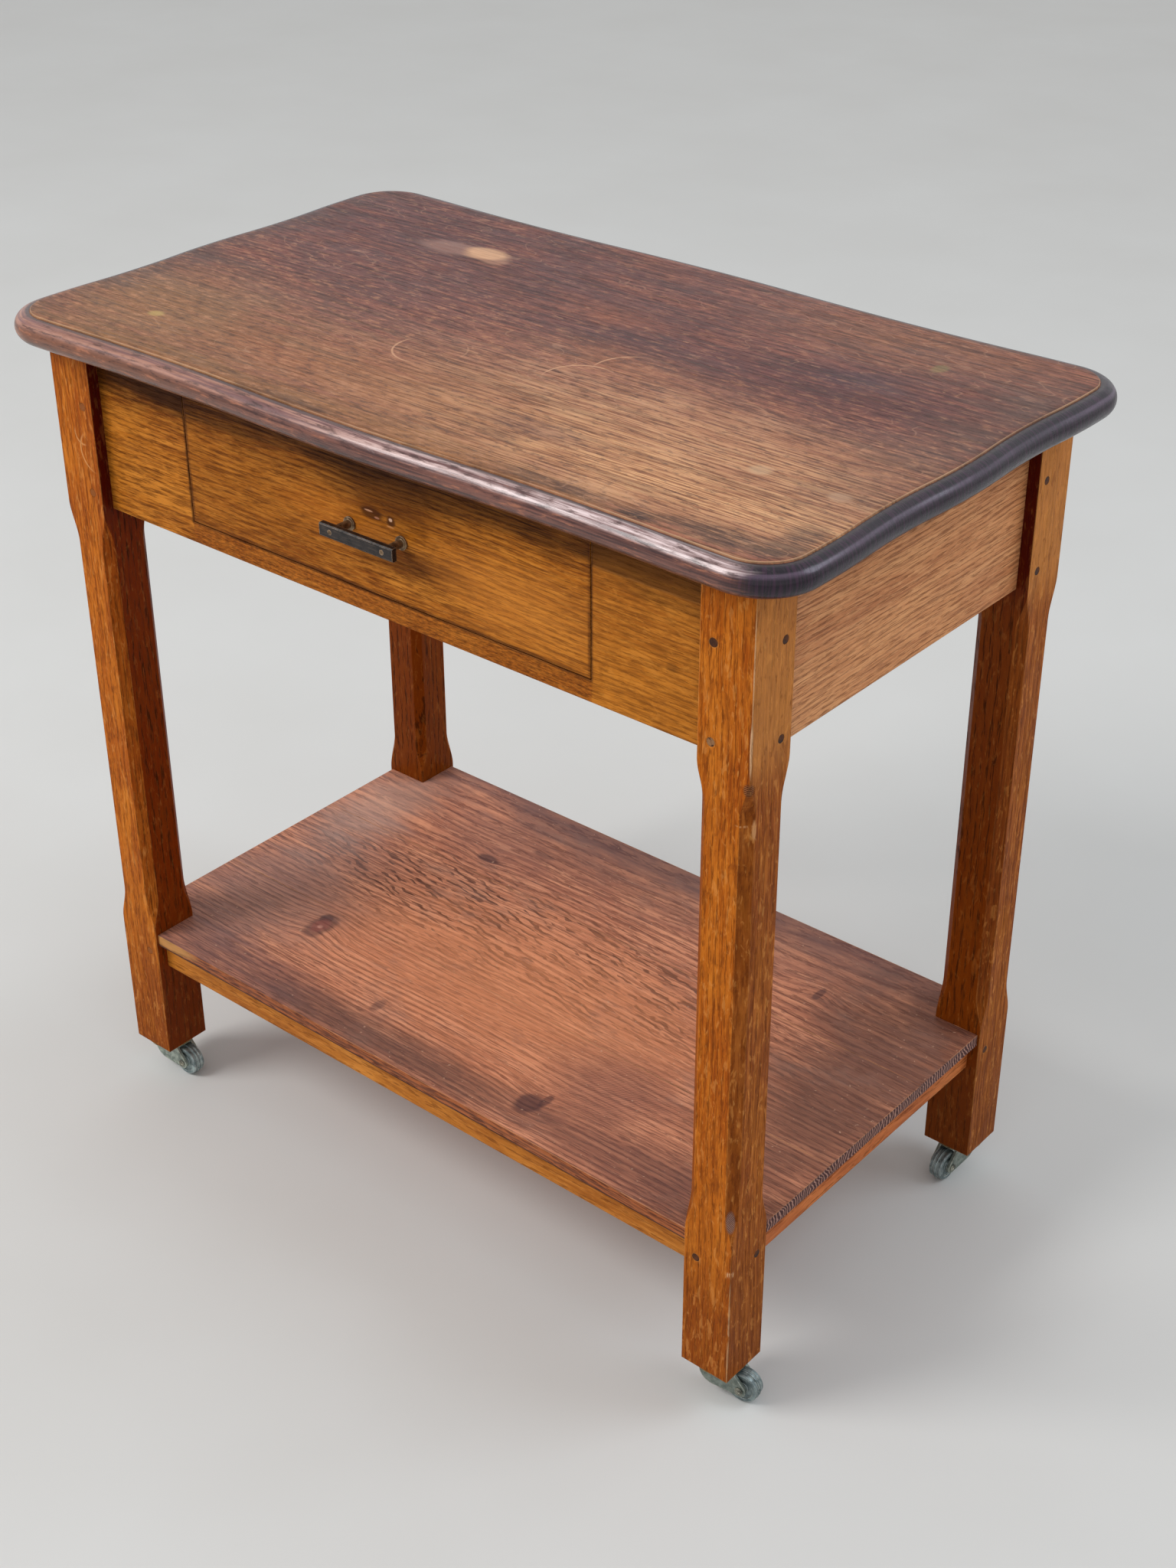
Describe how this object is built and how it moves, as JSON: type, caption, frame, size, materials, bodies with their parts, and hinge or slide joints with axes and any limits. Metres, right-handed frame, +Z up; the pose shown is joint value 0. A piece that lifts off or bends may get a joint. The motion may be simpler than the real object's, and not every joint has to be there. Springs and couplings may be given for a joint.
{
  "type": "dessert trolley",
  "caption": "Oak serving table on swivel castors, with a waved rounded top, chamfered square legs, one wide drawer with a bar pull and a low plank shelf.",
  "frame": {"origin": "on the floor, under the middle of the top", "axes": "+X along the top, +Z up, the drawer opens towards -Y"},
  "size_m": [0.8314, 0.4864, 0.8085],
  "materials": {
    "top_oak": "worn wax over dark stain",
    "leg_oak": "waxed honey oak",
    "apron_oak": "waxed honey oak",
    "rail_oak": "waxed honey oak",
    "shelf_oak": "worn reddish brown oak",
    "peg_oak": "dark end grain",
    "inner_oak": "bare dry oak",
    "pull_bronze": "dark patina with pale arrises",
    "post_brass": "dull brass",
    "plate_brass": "tarnished",
    "castor_metal": "grey green cast metal",
    "wheel_metal": "grey green worn tread",
    "axle_metal": "riveted ends",
    "screw_steel": "dull"
  },
  "bodies": {
    "table": {"top_board": "top_oak", "top_buttons": "inner_oak", "button_screws": "screw_steel", "leg_front_left": "leg_oak", "leg_front_right": "leg_oak", "leg_back_left": "leg_oak", "leg_back_right": "leg_oak", "leg_pegs": "peg_oak", "apron_front": "apron_oak", "apron_back": "apron_oak", "apron_left": "apron_oak", "apron_right": "apron_oak", "runner_left": "inner_oak", "runner_right": "inner_oak", "guide_left": "inner_oak", "guide_right": "inner_oak", "kicker_left": "inner_oak", "kicker_right": "inner_oak", "drawer_stops": "inner_oak", "rail_front": "rail_oak", "rail_back": "rail_oak", "rail_left": "rail_oak", "rail_right": "rail_oak", "shelf_front": "shelf_oak", "shelf_middle": "shelf_oak", "shelf_back": "shelf_oak", "shelf_screws": "screw_steel", "plate_front_left": "plate_brass", "plate_front_right": "plate_brass", "plate_back_left": "plate_brass", "plate_back_right": "plate_brass", "plate_screws": "screw_steel", "king_pins": "screw_steel"},
    "drawer": {"drawer_front": "apron_oak", "drawer_side_left": "inner_oak", "drawer_side_right": "inner_oak", "drawer_back": "inner_oak", "drawer_bottom": "inner_oak", "pull_bar": "pull_bronze", "pull_posts": "post_brass", "pull_nuts": "post_brass"},
    "castor_front_left": {"horn_front_left": "castor_metal", "axle_front_left": "axle_metal"},
    "roller_front_left": {"wheel_front_left": "wheel_metal"},
    "castor_front_right": {"horn_front_right": "castor_metal", "axle_front_right": "axle_metal"},
    "roller_front_right": {"wheel_front_right": "wheel_metal"},
    "castor_back_left": {"horn_back_left": "castor_metal", "axle_back_left": "axle_metal"},
    "roller_back_left": {"wheel_back_left": "wheel_metal"},
    "castor_back_right": {"horn_back_right": "castor_metal", "axle_back_right": "axle_metal"},
    "roller_back_right": {"wheel_back_right": "wheel_metal"}
  },
  "joints": [
    {"name": "drawer_slide", "type": "slide", "parent": "table", "child": "drawer", "axis": [0, -1, 0], "range_m": [0, 0.3]},
    {"name": "swivel_front_left", "type": "hinge", "parent": "table", "child": "castor_front_left", "pos_m": [-0.353, -0.19, 0.0375], "axis": [0, 0, 1], "continuous": true},
    {"name": "roll_front_left", "type": "hinge", "parent": "castor_front_left", "child": "roller_front_left", "pos_m": [-0.329, -0.19, 0.0155], "axis": [0, 1, 0], "continuous": true},
    {"name": "swivel_front_right", "type": "hinge", "parent": "table", "child": "castor_front_right", "pos_m": [0.353, -0.19, 0.0375], "axis": [0, 0, 1], "continuous": true},
    {"name": "roll_front_right", "type": "hinge", "parent": "castor_front_right", "child": "roller_front_right", "pos_m": [0.37677, -0.18666, 0.0155], "axis": [-0.1392, 0.9903, 0], "continuous": true},
    {"name": "swivel_back_left", "type": "hinge", "parent": "table", "child": "castor_back_left", "pos_m": [-0.353, 0.19, 0.0375], "axis": [0, 0, 1], "continuous": true},
    {"name": "roll_back_left", "type": "hinge", "parent": "castor_back_left", "child": "roller_back_left", "pos_m": [-0.37419, 0.20127, 0.0155], "axis": [-0.4695, -0.8829, 0], "continuous": true},
    {"name": "swivel_back_right", "type": "hinge", "parent": "table", "child": "castor_back_right", "pos_m": [0.353, 0.19, 0.0375], "axis": [0, 0, 1], "continuous": true},
    {"name": "roll_back_right", "type": "hinge", "parent": "castor_back_right", "child": "roller_back_right", "pos_m": [0.35216, 0.16601, 0.0155], "axis": [0.9994, -0.0349, 0], "continuous": true}
  ]
}
